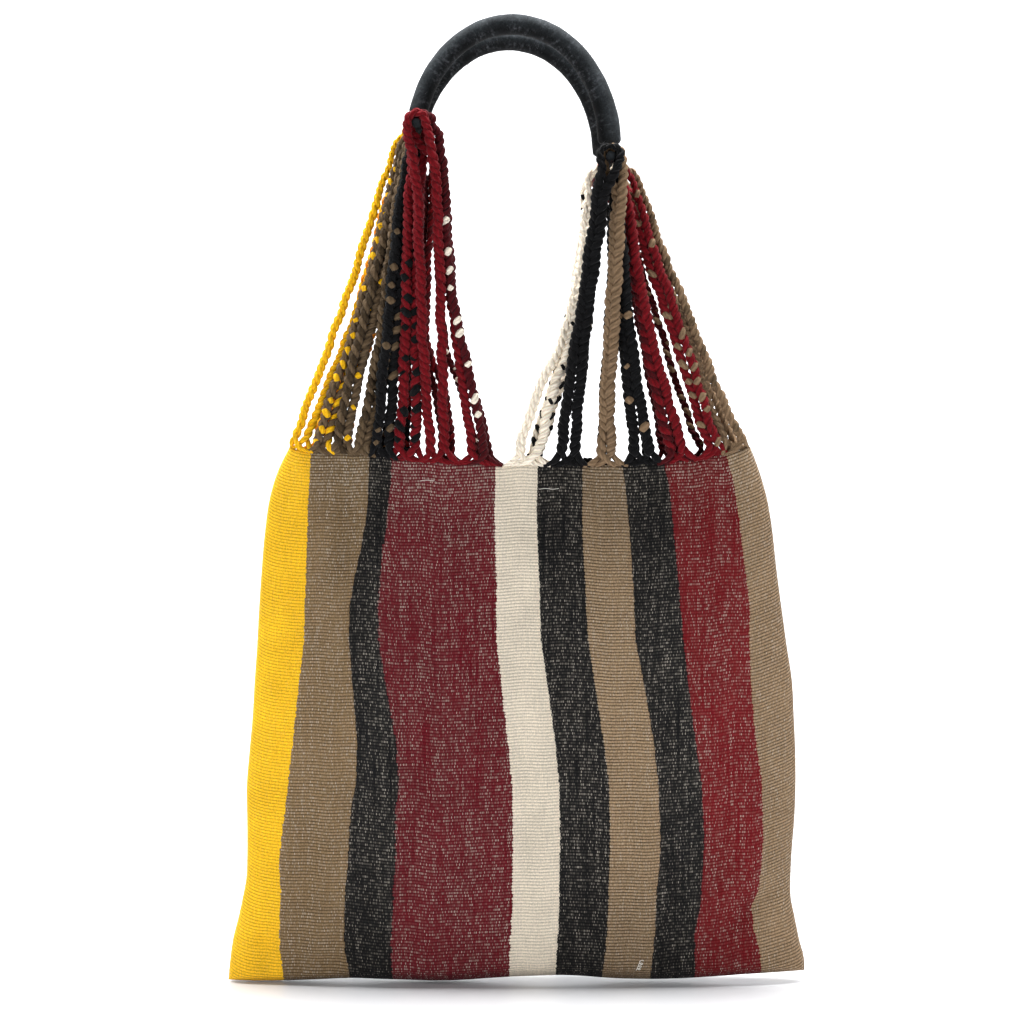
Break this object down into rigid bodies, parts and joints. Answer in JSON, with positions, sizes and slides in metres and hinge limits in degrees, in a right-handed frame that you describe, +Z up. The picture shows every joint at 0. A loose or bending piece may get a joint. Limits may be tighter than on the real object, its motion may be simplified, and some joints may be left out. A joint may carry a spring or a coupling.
{
  "type": "hammock bag",
  "caption": "Striped hand-woven cotton bag, open at the top, hanging from twisted rope straps gathered to two black cloth-covered arch handles.",
  "frame": {"origin": "midway between the two handles, at the underside of the front handle's crown, where the bag hangs", "axes": "+X to the right seen from the front, -Y to the front, +Z up"},
  "size_m": [0.4197, 0.0932, 0.6979],
  "materials": {
    "striped_cloth": "matte ribbed weave in yellow, brown, black, maroon, cream and tan stripes",
    "handle_cloth": "dull napped cloth",
    "yellow": "matte twisted cotton",
    "brown": "matte twisted cotton",
    "black": "matte twisted cotton",
    "maroon": "matte twisted cotton",
    "cream": "matte twisted cotton",
    "tan": "matte twisted cotton"
  },
  "bodies": {
    "root": {"bag_body": "striped_cloth", "handle_back": "handle_cloth", "handle_front": "handle_cloth", "rope_back_left_black_brown": "black", "rope_back_left_brown": "brown", "rope_back_left_red": "maroon", "rope_back_left_red_black": "maroon", "rope_back_left_red_cream": "maroon", "rope_back_left_yellow": "yellow", "rope_back_right_black": "black", "rope_back_right_cream_black": "cream", "rope_back_right_red": "maroon", "rope_back_right_red_tan": "maroon", "rope_back_right_tan": "tan", "rope_back_right_tan_black": "tan", "rope_front_left_black": "black", "rope_front_left_brown_left": "brown", "rope_front_left_brown_right": "brown", "rope_front_left_red": "maroon", "rope_front_left_red_black": "maroon", "rope_front_left_red_cream": "maroon", "rope_front_left_yellow": "yellow", "rope_front_left_yellow_brown": "brown", "rope_front_right_black_left": "black", "rope_front_right_black_right": "black", "rope_front_right_cream": "cream", "rope_front_right_red": "maroon", "rope_front_right_red_tan": "maroon", "rope_front_right_tan": "tan", "rope_front_right_tan_outer": "tan"}
  },
  "joints": []
}
